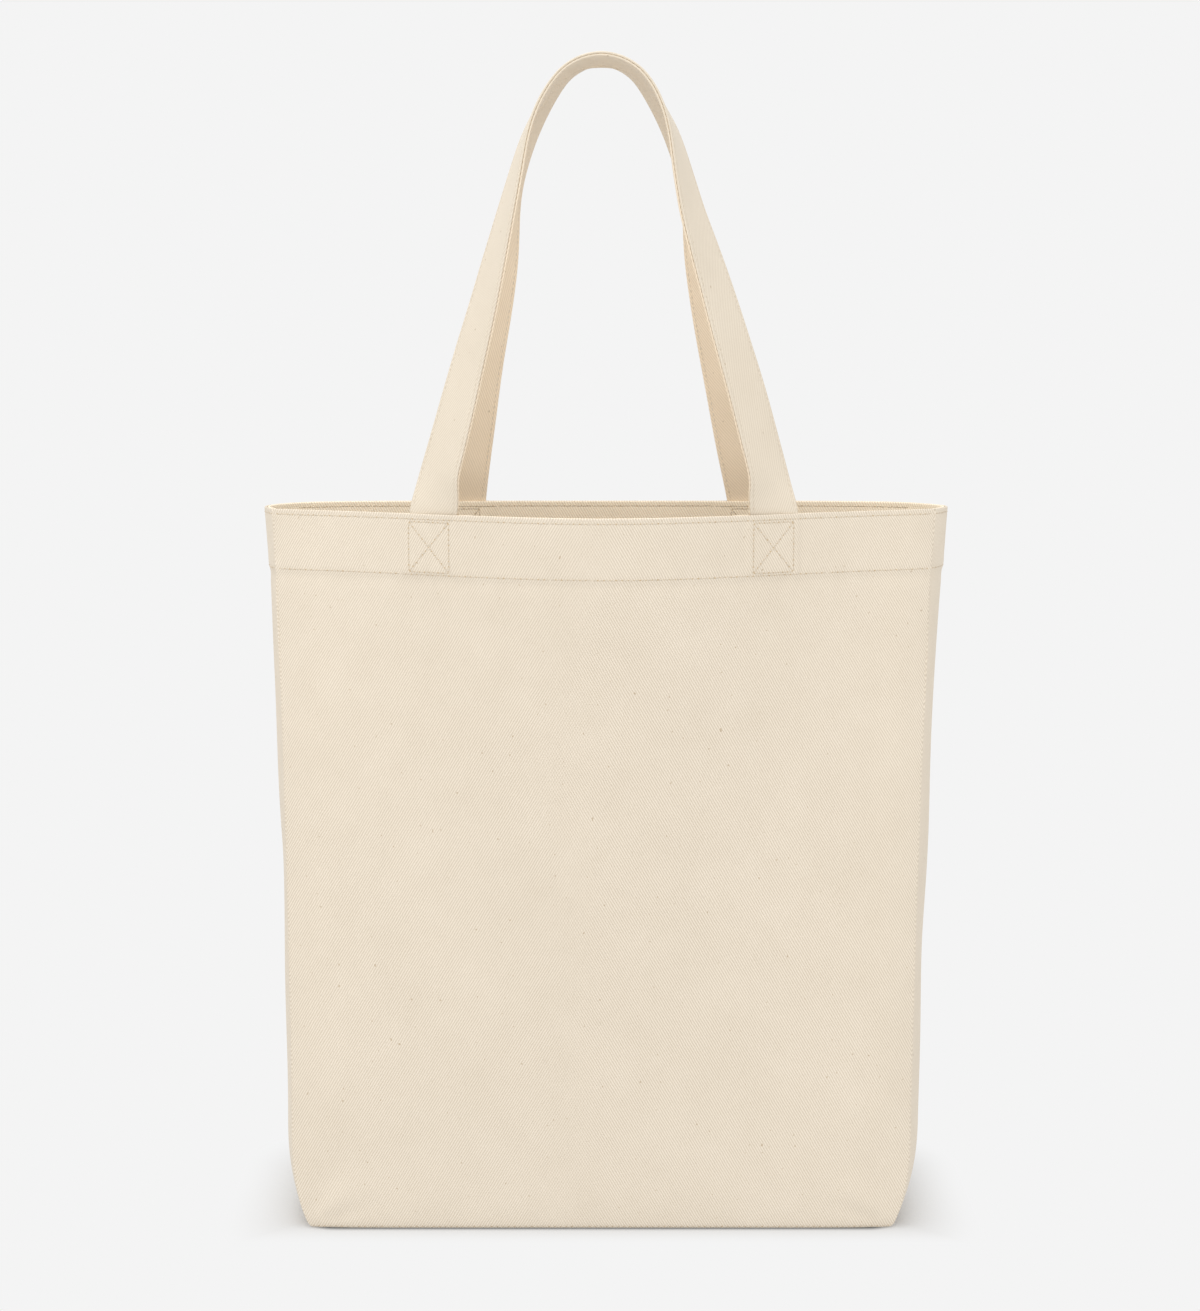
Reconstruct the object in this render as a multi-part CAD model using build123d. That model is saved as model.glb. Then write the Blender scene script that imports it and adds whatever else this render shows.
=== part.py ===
"""Canvas tote bag: sewn panels, mouth facings, two strap handles and their stitching.

Millimetres, +Z up. The origin is on the floor, under the middle of the base. -Y is the front of
the bag and +X is its right-hand side. The bag stands open, with its handles standing up.
"""

import math
import os

from build123d import *

# ---- the body ----
BODY_HEIGHT = 420.0
CANVAS = 1.2                    # thickness of one layer of canvas
SEAM_HALF_WIDTH = 182.0         # corner seams, low on the body
MOUTH_EXTRA_HALF_WIDTH = 15.0   # how much further out the seams are at the mouth
BASE_SEAM_DEPTH = 51.0          # corner seams in front of and behind the middle, at the base
BASE_BELLY = 4.0                # how far the panels' flat faces stand out from those seams
MOUTH_FRONT_SEAM = 2.0          # the same two lines at the mouth, where the front bows out
MOUTH_FRONT_BOW = 66.0
MOUTH_BACK_SEAM = 40.0
MOUTH_BACK_BOW = 17.0
MOUTH_SHAPE_POWER = 1.4         # how late, going up, the section takes the mouth's shape
GUSSET_BULGE_LOW = 8.0
GUSSET_BULGE_MOUTH = 5.0
SIDE_ROLL = 14.0                # the side walls turn in by this much at the floor
SIDE_ROLL_HEIGHT = 45.0
FACE_ROLL = 6.0                 # the front and back walls turn under by this much
FACE_ROLL_HEIGHT = 25.0
ROLL_POWER = 2.5
SEAM_GAP = 0.5                  # left between neighbouring panels, where the thread runs

# ---- the mouth facing, sewn inside the top of each panel ----
FACING_HEIGHT = 36.0
LAYER_GAP = 0.2

# ---- the handles ----
STRAP_WIDTH = 30.0
STRAP_THICKNESS = 2.6
HANDLE_TOP = 673.5              # height of the strap's middle at the top of the arch
TOP_RADIUS = 31.5               # the arch is round on top
SHOULDER_RADIUS = 90.0          # and opens into each leg through a wider curve
SHOULDER_SLOPE = 40.0           # degrees from upright, where the two radii meet
LEG_LEAN = 14.7                 # degrees, each leg towards the middle
FRONT_LEG_X = (-96.4, 96.4)     # where the middle of each leg leaves the mouth
BACK_LEG_X = (-85.0, 90.5)
ROOT_BLEND = 170.0              # height over which a leg settles onto its straight line
FRONT_ROOT_TURN = 20.0          # degrees, the strap's turn out of the X direction at the mouth
BACK_ROOT_TURN = 0.0
HANDLE_TOP_Y = 15.7             # the straps meet side by side at the top of the arch
SEWN_END_HEIGHT = 34.0
ROOT_GAP = 0.4                  # between the sewn end and the free strap

# ---- the thread ----
THREAD_WIDTH = 0.8
THREAD_THICKNESS = 0.5
THREAD_LIFT = 0.35
RIM_ROW_DROP = 3.0              # stitching below the mouth's edge
HEM_ROW_DROP = 34.5
BASE_ROW_HEIGHT = 2.5
EDGE_ROW_INSET = 2.2            # stitching in from the strap's edges
CROSS_WIDTH = 25.0
CROSS_TOP_DROP = 4.6
CROSS_BOTTOM_DROP = 33.0
CROSS_LIFT = 0.7
CORNER_LIFT = 1.1

SECTION_HEIGHTS = (0.0, 3.0, 8.0, 15.0, 25.0, 45.0, 75.0, 140.0, 210.0, 280.0, 350.0, BODY_HEIGHT)
CURVE_STEPS = 16
HALF_STRAP_STEPS = 13


# ---- the body's outline at any height ----

def rise(z):
    """0 at the floor, 1 at the mouth."""
    return z / BODY_HEIGHT


def mouth_share(z):
    return rise(z) ** MOUTH_SHAPE_POWER


def mix(low, high, share):
    return low + (high - low) * share


def roll(z, depth, height):
    """How far a wall is turned in near the floor."""
    return depth * max(0.0, 1.0 - z / height) ** ROLL_POWER


def seam_half_width(z):
    flare = MOUTH_EXTRA_HALF_WIDTH * rise(z) ** 2.5
    return SEAM_HALF_WIDTH + flare - roll(z, SIDE_ROLL, SIDE_ROLL_HEIGHT)


def front_bow_shape(u):
    """The bowed front edge of the mouth: 1 in the middle, 0 at the corner seams."""
    softness = 0.25
    tent = 1.0 - (math.hypot(u, softness) - softness) / (math.hypot(1.0, softness) - softness)
    bell = (1.0 + math.cos(math.pi * u)) / 2.0
    return 0.55 * tent + 0.45 * bell


def flat_shape(u, power):
    return 1.0 - abs(u) ** power


def front_y(u, z):
    base = BASE_SEAM_DEPTH + BASE_BELLY * flat_shape(u, 10)
    mouth = MOUTH_FRONT_SEAM + MOUTH_FRONT_BOW * front_bow_shape(u)
    return -mix(base, mouth, mouth_share(z)) + roll(z, FACE_ROLL, FACE_ROLL_HEIGHT)


def back_y(u, z):
    base = BASE_SEAM_DEPTH + BASE_BELLY * flat_shape(u, 10)
    mouth = MOUTH_BACK_SEAM + MOUTH_BACK_BOW * flat_shape(u, 8)
    return mix(base, mouth, mouth_share(z)) - roll(z, FACE_ROLL, FACE_ROLL_HEIGHT)


def gusset_bulge(z):
    bulge = mix(GUSSET_BULGE_LOW, GUSSET_BULGE_MOUTH, rise(z))
    return bulge * (1.0 - 0.6 * max(0.0, 1.0 - z / SIDE_ROLL_HEIGHT) ** ROLL_POWER)


def front_point(u, z):
    return (u * seam_half_width(z), front_y(u, z))


def back_point(u, z):
    return (-u * seam_half_width(z), back_y(u, z))


def gusset_point(side, u, z):
    share = (1.0 + u * side) / 2.0
    y = mix(front_y(1.0, z), back_y(1.0, z), share)
    return (side * (seam_half_width(z) + gusset_bulge(z) * flat_shape(u, 3)), y)


def right_gusset_point(u, z):
    return gusset_point(1.0, u, z)


def left_gusset_point(u, z):
    return gusset_point(-1.0, u, z)


def inward(curve, u, z, depth):
    """A point of an outline, moved into the bag by a depth. All outlines run anticlockwise."""
    step = 0.002
    x0, y0 = curve(max(-1.0, u - step), z)
    x1, y1 = curve(min(1.0, u + step), z)
    length = math.hypot(x1 - x0, y1 - y0)
    x, y = curve(u, z)
    return (x - (y1 - y0) / length * depth, y + (x1 - x0) / length * depth)


def curve_places(first, last):
    """Places along an outline, closer together near the corner seams."""
    start = math.asin(first)
    span = math.asin(last) - start
    return [math.sin(start + span * i / CURVE_STEPS) for i in range(CURVE_STEPS + 1)]


# ---- layers of cloth ----

def layer_face(curve, z, outer, inner, first, last):
    """A thin face at one height, between two depths of an outline."""
    places = curve_places(first, last)
    outside = [(*inward(curve, u, z, outer(u)), z) for u in places]
    inside = [(*inward(curve, u, z, inner(u)), z) for u in places]
    edges = [
        Spline(outside),
        Line(outside[-1], inside[-1]),
        Spline(inside[::-1]),
        Line(inside[0], outside[0]),
    ]
    return Face(Wire(edges))


def layer(curve, heights, outer, inner, first, last):
    faces = [layer_face(curve, z, outer, inner, first, last) for z in heights]
    return Solid.make_loft([face.outer_wire() for face in faces], ruled=True)


def constant(depth):
    return lambda u: depth


def end_place(curve, gap):
    """How far along its outline a panel reaches, leaving a gap at the corner seam."""
    half_length = abs(curve(1.0, BODY_HEIGHT)[0] - curve(-1.0, BODY_HEIGHT)[0]) / 2.0
    if half_length < 1.0:
        half_length = (MOUTH_FRONT_SEAM + MOUTH_BACK_SEAM) / 2.0
    return 1.0 - gap / half_length


def panel(curve):
    reach = end_place(curve, SEAM_GAP)
    return layer(curve, SECTION_HEIGHTS, constant(0.0), constant(CANVAS), -reach, reach)


def pocket_depth(leg_places):
    """Depth of the facing: close behind the panel, and behind the strap where one is sewn in."""
    half_pocket = STRAP_WIDTH / 2.0 + 2.5
    edge = 9.0

    def depth(u):
        x = u * seam_half_width(BODY_HEIGHT)
        bump = 0.0
        for leg_x in leg_places:
            beyond = max(0.0, abs(x - leg_x) - half_pocket)
            bump = max(bump, max(0.0, 1.0 - beyond / edge))
        smooth = bump * bump * (3.0 - 2.0 * bump)
        return CANVAS + LAYER_GAP + smooth * (STRAP_THICKNESS + LAYER_GAP)

    return depth


def facing(curve, leg_places):
    front_of_cloth = pocket_depth(leg_places)
    heights = (BODY_HEIGHT - FACING_HEIGHT, BODY_HEIGHT)
    reach = end_place(curve, 3.0 * CANVAS)

    def back_of_cloth(u):
        return front_of_cloth(u) + CANVAS

    places = 4 * CURVE_STEPS
    return faceted_layer(curve, heights, front_of_cloth, back_of_cloth, reach, places)


def faceted_layer(curve, heights, outer, inner, reach, steps):
    """A strip of cloth in many short flat facets, for an outline with small steps in it."""
    faces = []
    for z in heights:
        places = [-reach + 2.0 * reach * i / steps for i in range(steps + 1)]
        outside = [(*inward(curve, u, z, outer(u)), z) for u in places]
        inside = [(*inward(curve, u, z, inner(u)), z) for u in places]
        faces.append(Wire.make_polygon(outside + inside[::-1], close=True))
    return Solid.make_loft(faces, ruled=True)


def base_panel():
    """The flat bottom, inside the lower edges of the four walls."""
    depth = CANVAS + 2.0 * LAYER_GAP
    points = []
    for curve in (front_point, right_gusset_point, back_point, left_gusset_point):
        reach = end_place(curve, 3.0 * CANVAS)
        points += [inward(curve, u, 0.0, depth) for u in curve_places(-reach, reach)]
    outline = Wire.make_polygon([(x, y, 0.0) for x, y in points], close=True)
    return Solid.extrude(Face(outline), Vector(0, 0, CANVAS))


# ---- the handles ----

def arch_point(slope):
    """A point of the arch, where the strap leans from upright by this slope."""
    shoulder = math.radians(SHOULDER_SLOPE)
    top_slope = max(slope, shoulder)
    x = TOP_RADIUS * math.cos(top_slope)
    z = HANDLE_TOP - TOP_RADIUS * (1.0 - math.sin(top_slope))
    if slope < shoulder:
        x += SHOULDER_RADIUS * (math.cos(slope) - math.cos(shoulder))
        z -= SHOULDER_RADIUS * (math.sin(shoulder) - math.sin(slope))
    return x, z


def leg_line_x(z):
    """Distance of a straight leg from the middle, below the arch."""
    lean = math.radians(LEG_LEAN)
    tangent_x, tangent_z = arch_point(lean)
    return tangent_x + (tangent_z - z) * math.tan(lean)


def leg_stations(root_x):
    """(x, z, slope) from the mouth to the top of the arch; slope in radians from upright."""
    lean = math.radians(LEG_LEAN)
    tangent_z = arch_point(lean)[1]
    start_z = BODY_HEIGHT + ROOT_GAP
    offset = leg_line_x(start_z) - abs(root_x)
    stations = []
    leg_steps = 2 * HALF_STRAP_STEPS // 3
    for i in range(leg_steps):
        z = mix(start_z, tangent_z, i / leg_steps)
        near = max(0.0, 1.0 - (z - start_z) / ROOT_BLEND)
        x = leg_line_x(z) - offset * near * near
        slope = math.atan(math.tan(lean) - 2.0 * offset * near / ROOT_BLEND)
        stations.append((x, z, slope))
    arch_steps = HALF_STRAP_STEPS - leg_steps
    for i in range(arch_steps + 1):
        slope = mix(lean, math.pi / 2.0, i / arch_steps)
        stations.append((*arch_point(slope), slope))
    return stations


def strap_frames(leg_x, root_y, root_turn, outside):
    """Middle, width direction and outward direction of the strap, from its left to its right end.

    outside is -1 on the front handle and +1 on the back one. The strap turns about its own length
    on the way up, so that its outer face is on top at the arch.
    """
    frames = []
    for side, root_x in zip((-1.0, 1.0), leg_x):
        stations = leg_stations(root_x)
        lengths = [0.0]
        for (x0, z0, _), (x1, z1, _) in zip(stations, stations[1:]):
            lengths.append(lengths[-1] + math.hypot(x1 - x0, z1 - z0))
        half = []
        for (x, z, slope), length in zip(stations, lengths):
            share = (z - BODY_HEIGHT) / (HANDLE_TOP - BODY_HEIGHT)
            y = mix(root_y, outside * HANDLE_TOP_Y, share)
            turn = math.radians(mix(root_turn, 90.0, length / lengths[-1]))
            lean_y = (outside * HANDLE_TOP_Y - root_y) / (HANDLE_TOP - BODY_HEIGHT)
            along = Vector(-side * math.sin(slope), lean_y * math.cos(slope), math.cos(slope))
            outward = Vector(0, outside, -outside * lean_y).normalized()
            across = along.normalized().cross(outward) * (side * outside)
            wide = (across * math.cos(turn) + outward * math.sin(turn)).normalized()
            if length == 0.0:
                along = Vector(0, 0, 1)
                wide = Vector(wide.X, wide.Y, 0).normalized()
            thick = wide.cross(along.normalized()) * (side * outside)
            half.append((Vector(side * x, y, z), wide, thick.normalized()))
        frames += half if side < 0 else half[::-1][1:]
    return frames


def strap_body(frames, width_offset, width, lift, thickness):
    """A strip along the strap: its middle, measured from the inner edge side, and its thickness."""
    wires = []
    for middle, wide, thick in frames:
        low = middle + wide * (width_offset - width / 2.0) + thick * lift
        high = middle + wide * (width_offset + width / 2.0) + thick * lift
        corners = [low, high, high + thick * thickness, low + thick * thickness]
        wires.append(Wire.make_polygon(corners, close=True))
    return Solid.make_loft(wires, ruled=True)


def strap(frames):
    return strap_body(frames, 0.0, STRAP_WIDTH, -STRAP_THICKNESS / 2.0, STRAP_THICKNESS)


def edge_stitching(frames, side):
    offset = side * (STRAP_WIDTH / 2.0 - EDGE_ROW_INSET)
    lift = STRAP_THICKNESS / 2.0 + THREAD_LIFT
    return strap_body(frames, offset, THREAD_WIDTH, lift, THREAD_THICKNESS)


def sewn_end(curve, leg_x):
    """The end of a strap, flat between the panel and its facing."""
    half_width = seam_half_width(BODY_HEIGHT)
    tangent = math.cos(math.radians(FRONT_ROOT_TURN if curve is front_point else BACK_ROOT_TURN))
    reach = STRAP_WIDTH / 2.0 * tangent
    sign = 1.0 if curve is front_point else -1.0
    first = (sign * leg_x - reach) / half_width
    last = (sign * leg_x + reach) / half_width
    near = constant(CANVAS + LAYER_GAP / 2.0)
    far = constant(CANVAS + LAYER_GAP / 2.0 + STRAP_THICKNESS)
    heights = (BODY_HEIGHT - SEWN_END_HEIGHT, BODY_HEIGHT)
    return layer(curve, heights, near, far, first, last)


def root_depth_y(curve, leg_x):
    """Where the middle of a strap's thickness is, between the panel and the facing."""
    sign = 1.0 if curve is front_point else -1.0
    u = sign * abs(leg_x) / seam_half_width(BODY_HEIGHT)
    depth = CANVAS + LAYER_GAP / 2.0 + STRAP_THICKNESS / 2.0
    return inward(curve, u, BODY_HEIGHT, depth)[1]


# ---- the stitching ----

def row_on_outline(curve, z):
    """One row of thread along a panel, on its outer face."""
    reach = end_place(curve, 3.0)
    near = constant(-THREAD_LIFT)
    far = constant(-THREAD_LIFT - THREAD_THICKNESS)
    heights = (z - THREAD_WIDTH / 2.0, z + THREAD_WIDTH / 2.0)
    return layer(curve, heights, far, near, -reach, reach)


def stitched_ring(z):
    curves = (front_point, right_gusset_point, back_point, left_gusset_point)
    return Compound([row_on_outline(curve, z) for curve in curves])


def corner_seam(side, front):
    """The thread down one corner of the body."""
    wires = []
    for z in (*SECTION_HEIGHTS[2:-1], BODY_HEIGHT - 1.5 * RIM_ROW_DROP):
        x = side * (seam_half_width(z) + CORNER_LIFT)
        y = front_y(1.0, z) - CORNER_LIFT if front else back_y(1.0, z) + CORNER_LIFT
        half = THREAD_WIDTH / 2.0
        corners = [(x - half, y - half, z), (x + half, y - half, z),
                   (x + half, y + half, z), (x - half, y + half, z)]
        wires.append(Wire.make_polygon(corners, close=True))
    return Solid.make_loft(wires, ruled=True)


def thread_bar(start, end, outward):
    """A straight run of thread between two points on a panel."""
    along = (end - start).normalized()
    across = outward.cross(along).normalized() * (THREAD_WIDTH / 2.0)
    corners = [start - across, start + across, end + across, end - across]
    face = Face(Wire.make_polygon(corners, close=True))
    return Solid.extrude(face, outward * THREAD_THICKNESS)


def cross_stitching(curve, leg_x):
    """A box with both its diagonals, through the panel, the strap's end and the facing."""
    sign = 1.0 if curve is front_point else -1.0
    half_width = seam_half_width(BODY_HEIGHT)
    turn = math.radians(FRONT_ROOT_TURN if curve is front_point else BACK_ROOT_TURN)
    reach = CROSS_WIDTH / 2.0 * math.cos(turn)

    def on_panel(x, drop):
        z = BODY_HEIGHT - drop
        place_x, place_y = inward(curve, sign * x / half_width, z, -CROSS_LIFT)
        return Vector(place_x, place_y, z)

    top_left = on_panel(leg_x - reach, CROSS_TOP_DROP)
    top_right = on_panel(leg_x + reach, CROSS_TOP_DROP)
    bottom_right = on_panel(leg_x + reach, CROSS_BOTTOM_DROP)
    bottom_left = on_panel(leg_x - reach, CROSS_BOTTOM_DROP)
    outward = (top_right - top_left).cross(bottom_left - top_left).normalized()
    if outward.Y * sign > 0:
        outward = outward * -1.0
    runs = [
        (top_left, top_right, 0.0),
        (top_right, bottom_right, 0.0),
        (bottom_right, bottom_left, 0.0),
        (bottom_left, top_left, 0.0),
        (top_left, bottom_right, 1.0),
        (top_right, bottom_left, 2.0),
    ]
    bars = []
    for start, end, level in runs:
        trim = (end - start).normalized() * (THREAD_WIDTH * (0.6 if level == 0.0 else 1.2))
        lift = outward * (level * (THREAD_THICKNESS + 0.05))
        bars.append(thread_bar(start + trim + lift, end - trim + lift, outward))
    return Compound(bars)


# ---- the whole bag ----

def body_nodes():
    return {
        "front_panel": panel(front_point),
        "back_panel": panel(back_point),
        "left_gusset": panel(left_gusset_point),
        "right_gusset": panel(right_gusset_point),
        "base_panel": base_panel(),
        "front_facing": facing(front_point, FRONT_LEG_X),
        "back_facing": facing(back_point, [-x for x in BACK_LEG_X]),
        "left_facing": facing(left_gusset_point, []),
        "right_facing": facing(right_gusset_point, []),
    }


def stitching_nodes():
    nodes = {
        "rim_stitching": stitched_ring(BODY_HEIGHT - RIM_ROW_DROP),
        "hem_stitching": stitched_ring(BODY_HEIGHT - HEM_ROW_DROP),
        "base_stitching": stitched_ring(BASE_ROW_HEIGHT),
    }
    for end_name, front in (("front", True), ("back", False)):
        for side_name, side in (("left", -1.0), ("right", 1.0)):
            nodes[f"{end_name}_{side_name}_corner_stitching"] = corner_seam(side, front)
    return nodes


def handle_nodes(name, curve, leg_x, root_turn, outside):
    mean_x = (leg_x[1] - leg_x[0]) / 2.0
    frames = strap_frames(leg_x, root_depth_y(curve, mean_x), root_turn, outside)
    nodes = {
        f"{name}_handle": strap(frames),
        f"{name}_handle_inner_stitching": edge_stitching(frames, 1.0),
        f"{name}_handle_outer_stitching": edge_stitching(frames, -1.0),
    }
    for side_name, x in zip(("left", "right"), leg_x):
        nodes[f"{name}_handle_{side_name}_end"] = sewn_end(curve, x)
        nodes[f"{name}_{side_name}_cross_stitching"] = cross_stitching(curve, x)
    return nodes


def main():
    os.makedirs("parts", exist_ok=True)
    nodes = body_nodes()
    nodes.update(stitching_nodes())
    nodes.update(handle_nodes("front", front_point, FRONT_LEG_X, FRONT_ROOT_TURN, -1.0))
    nodes.update(handle_nodes("back", back_point, BACK_LEG_X, BACK_ROOT_TURN, 1.0))
    for name, shape in nodes.items():
        export_step(shape, f"parts/{name}.step")


main()
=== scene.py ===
"""Looks of the canvas tote bag: sewn walls, mouth facings, strap handles and every stitch.

Metres, +Z up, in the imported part's own frame. -Y is the front of the bag, +X its right-hand side.
Every wall is a closed sheet of cloth 1.2 mm thick, shaped by formulas that follow the CAD outline.
"""

import math

import bpy
import numpy as np
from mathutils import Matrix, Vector


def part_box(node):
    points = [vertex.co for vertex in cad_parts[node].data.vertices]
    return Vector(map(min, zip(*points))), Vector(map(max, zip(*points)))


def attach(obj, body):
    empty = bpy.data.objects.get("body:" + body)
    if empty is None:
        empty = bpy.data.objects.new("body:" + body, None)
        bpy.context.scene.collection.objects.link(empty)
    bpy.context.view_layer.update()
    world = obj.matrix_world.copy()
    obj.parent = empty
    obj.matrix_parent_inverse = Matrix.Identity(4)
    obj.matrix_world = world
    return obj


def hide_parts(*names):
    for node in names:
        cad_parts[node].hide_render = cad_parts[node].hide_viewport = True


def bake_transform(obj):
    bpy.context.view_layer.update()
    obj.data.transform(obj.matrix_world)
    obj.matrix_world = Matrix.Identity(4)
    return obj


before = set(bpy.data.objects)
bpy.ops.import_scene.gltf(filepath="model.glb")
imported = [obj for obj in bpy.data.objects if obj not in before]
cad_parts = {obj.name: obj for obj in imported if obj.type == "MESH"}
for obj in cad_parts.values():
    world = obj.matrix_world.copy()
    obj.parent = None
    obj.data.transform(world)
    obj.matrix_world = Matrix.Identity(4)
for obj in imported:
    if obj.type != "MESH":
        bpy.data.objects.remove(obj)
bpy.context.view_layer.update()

MM = 0.001

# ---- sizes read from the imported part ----
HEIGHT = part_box("front_panel")[1].z  # the mouth's edge
FACING_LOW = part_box("front_facing")[0].z
STRAP_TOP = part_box("front_handle")[1].z - 1.9 * MM  # middle of the strap at the top of the arch

# ---- cloth ----
CANVAS = 1.2 * MM
LAYER_GAP = 0.2 * MM

# ---- the body's outline ----
SEAM_HALF_WIDTH = 181.5 * MM
FLARE = {-1: 15.8 * MM, 1: 16.7 * MM}  # the corner seams spread this much at the mouth
BULGE_LOW = {-1: 7.8 * MM, 1: 10.4 * MM}  # how far each gusset stands out, low down
BULGE_MOUTH = {-1: 3.0 * MM, 1: 5.8 * MM}
MOUTH_ROUNDING = 4.0 * MM         # softens the mouth where the walls meet
BASE_SEAM = 56.0 * MM
BASE_BELLY = 2.0 * MM
MOUTH_FRONT_SEAM = 2.0 * MM
MOUTH_FRONT_BOW = 66.0 * MM
MOUTH_BACK_SEAM = 40.0 * MM
MOUTH_BACK_BOW = 17.0 * MM
SIDE_ROLL = 10.2 * MM
SIDE_ROLL_HEIGHT = 58.0 * MM
FACE_ROLL = 1.5 * MM
FACE_ROLL_HEIGHT = 25.0 * MM
TUCK = 3.0 * MM                   # radius of the fold where a wall meets the floor
TOP_LEAN = 1.2 * MM               # the whole body leans this much to its right

# ---- relief of the cloth ----
ROW_DENT = 0.16 * MM              # how far a row of stitches pulls the cloth in
FACING_DENT = 0.12 * MM
BAND_LIFT = 0.45 * MM             # the facing inside thickens the top band
STRAP_END_LIFT = 0.75 * MM
BOX_DENT = 0.14 * MM
BOX_DENT_INSIDE = 0.15 * MM
FACE_SWAY = 0.8 * MM
GUSSET_SWAY = 0.9 * MM

# ---- the straps ----
STRAP_HALF = 15.0 * MM
STRAP_THICK = 2.6 * MM
TOP_RADIUS = 31.5 * MM            # the arch is round on top
SHOULDER_RADIUS = 90.0 * MM       # and opens into each leg through a wider curve
SHOULDER_SLOPE = math.radians(40.0)
LEG_LEAN = math.radians(14.7)
ROOT_BLEND = 170.0 * MM
ARCH_Y = 15.7 * MM
SEWN_HEIGHT = 34.0 * MM
TWIST_LENGTH = 24.0 * MM          # the front strap twists quickly this far up
ARCH_FLAT_FROM = 0.88             # and lies flat from this share of its half length
SEWN_STATIONS = 12                # sections in each sewn end
HANDLES = {
    "front": {
        "outside": -1,
        "legs": (-95.8 * MM, 98.4 * MM),  # where each leg leaves the mouth
        "boxes": (-97.7 * MM, 97.7 * MM),  # middles of the box stitching
        "bow": (-0.6 * MM, 2.8 * MM),  # how far each leg bends outwards on its way up
        "turn": math.radians(20.0),
        "twist": math.radians(41.0),
        "pace": (1.40, 2.3),      # a larger one twists later
        "neck": 0.0,
    },
    "back": {
        "outside": 1,
        "legs": (-85.5 * MM, 92.0 * MM),
        "boxes": (-86.3 * MM, 91.8 * MM),
        "bow": (0.0, 0.0),
        "turn": 0.0,
        "twist": 0.0,
        "pace": (1.0, 1.0),
        "neck": math.radians(13.0),  # more twist where the two straps meet
    },
}

# ---- stitching ----
PITCH = 3.4 * MM
THREAD = 0.27 * MM                # radius
RIM_ROW = HEIGHT - 3.0 * MM
HEM_ROW = HEIGHT - 34.5 * MM
BASE_ROW = 1.8 * MM
EDGE_INSET = 2.2 * MM
BOX_HALF = 12.5 * MM
BOX_TOP = HEIGHT - 4.6 * MM
BOX_LOW = HEIGHT - 33.0 * MM
BOX_PITCH = 3.1 * MM


# ---------------------------------------------------------------- small helpers

def mix(low, high, share):
    return low + (high - low) * share


def ease(t):
    t = np.clip(t, 0.0, 1.0)
    return t * t * (3.0 - 2.0 * t)


def hill(distance, width):
    return np.exp(-((distance / width) ** 2))


def unit(vectors):
    return vectors / np.maximum(np.linalg.norm(vectors, axis=-1, keepdims=True), 1e-12)


def points_of(x, y, z):
    return np.stack(np.broadcast_arrays(x, y, z), axis=-1)


def lengths_along(points):
    """Distance of each point of a line from its first one."""
    step = np.linalg.norm(np.diff(points, axis=0), axis=1)
    return np.concatenate([[0.0], np.cumsum(step)])


def at_lengths(values, lengths, places):
    """Points or directions of a line, read at other places along it."""
    return np.stack([np.interp(places, lengths, values[:, i]) for i in range(3)], axis=-1)


def of_side(pair, side):
    """The left or the right one of a pair."""
    return pair[0 if side < 0 else 1]


def stops(start, *stretches):
    """Places from start on: each stretch is (its end, the step in it)."""
    places = [start]
    for end, step in stretches:
        count = max(1, round(abs(end - places[-1]) / step))
        places += list(np.linspace(places[-1], end, count + 1)[1:])
    return np.array(places)


def mirrored(places):
    """Places from 0 up, and the same ones below 0."""
    return np.concatenate([-places[:0:-1], places])


def waves(x, z, seed):
    """Gentle uneven waves, between about -1 and 1."""
    total = 0.0
    for i, (along, up) in enumerate(((9.0, 4.0), (16.0, 7.0), (5.0, 12.0), (23.0, 3.0))):
        turn = seed * 1.7 + i * 2.1
        total = total + np.sin(along * x * math.tau / 2.0 + up * z * math.tau / 2.0 + turn)
    return total / 3.0


# ---------------------------------------------------------------- the body's shape

def roll(z, depth, height):
    return depth * np.clip(1.0 - z / height, 0.0, None) ** 2.5


def tuck(z):
    """A quarter turn under, at the floor."""
    low = np.clip(1.0 - z / TUCK, 0.0, 1.0)
    return TUCK * (1.0 - np.sqrt(1.0 - low * low))


def lean(z):
    return TOP_LEAN * z / HEIGHT


def seam_x(side, z):
    spread = (FLARE[side] - MOUTH_ROUNDING) * (z / HEIGHT) ** 2.0
    inward = roll(z, SIDE_ROLL, SIDE_ROLL_HEIGHT) + 0.5 * tuck(z)
    return side * (SEAM_HALF_WIDTH + spread - inward) + lean(z)


def bow(u):
    """The bowed front edge of the mouth: 1 in the middle, 0 at the corner seams."""
    soft = 0.25
    tent = 1.0 - (np.hypot(u, soft) - soft) / (math.hypot(1.0, soft) - soft)
    return 0.55 * tent + 0.45 * (1.0 + np.cos(math.pi * u)) / 2.0


def soft_corner(u, z):
    """Each wall turns inwards a little before it reaches its corner seams."""
    reach = mix(0.14, 0.09, z / HEIGHT)
    beyond = np.clip((np.abs(u) - 1.0) / reach + 1.0, 0.0, 1.0)
    held = ease((z - 6.0 * MM) / (60.0 * MM))
    return mix(4.0 * MM, 3.0 * MM, z / HEIGHT) * beyond * beyond * held


def face_y(u, z, seam, extra):
    base = BASE_SEAM + BASE_BELLY * (1.0 - np.abs(u) ** 12)
    inward = roll(z, FACE_ROLL, FACE_ROLL_HEIGHT) + tuck(z) + soft_corner(u, z)
    return mix(base, seam + extra, (z / HEIGHT) ** 1.4) - inward


def front_y(u, z):
    return -face_y(u, z, MOUTH_FRONT_SEAM, MOUTH_FRONT_BOW * bow(u))


def back_y(u, z):
    return face_y(u, z, MOUTH_BACK_SEAM, MOUTH_BACK_BOW * (1.0 - np.abs(u) ** 8))


def across(u, z):
    return mix(seam_x(-1, z), seam_x(1, z), (1.0 + u) / 2.0)


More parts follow.
